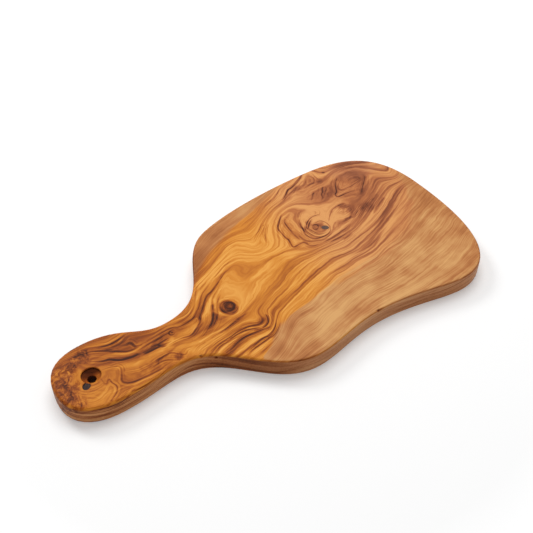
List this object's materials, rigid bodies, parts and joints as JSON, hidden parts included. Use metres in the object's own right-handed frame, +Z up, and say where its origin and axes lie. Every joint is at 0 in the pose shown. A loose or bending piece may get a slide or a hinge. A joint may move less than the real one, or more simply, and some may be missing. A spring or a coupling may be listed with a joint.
{
  "type": "paddle serving board",
  "caption": "Olive-wood paddle board with a rounded grip, a drilled hanging hole and a wide free-form blade, for serving and cutting food.",
  "frame": {"origin": "on the underside, under the middle of the board's overall length and width", "axes": "+X along the board from the grip towards the blade, +Y towards the blade's far side, +Z up through the thickness"},
  "size_m": [0.45, 0.224, 0.019],
  "materials": {
    "olive_wood": "oiled olive wood with dark brown figure and paler sapwood, satin",
    "dark_filler": "dark grey stopping, sanded flush, dull"
  },
  "bodies": {
    "root": {"board": "olive_wood", "knot_fill": "dark_filler", "rim_fill": "dark_filler"}
  },
  "joints": []
}
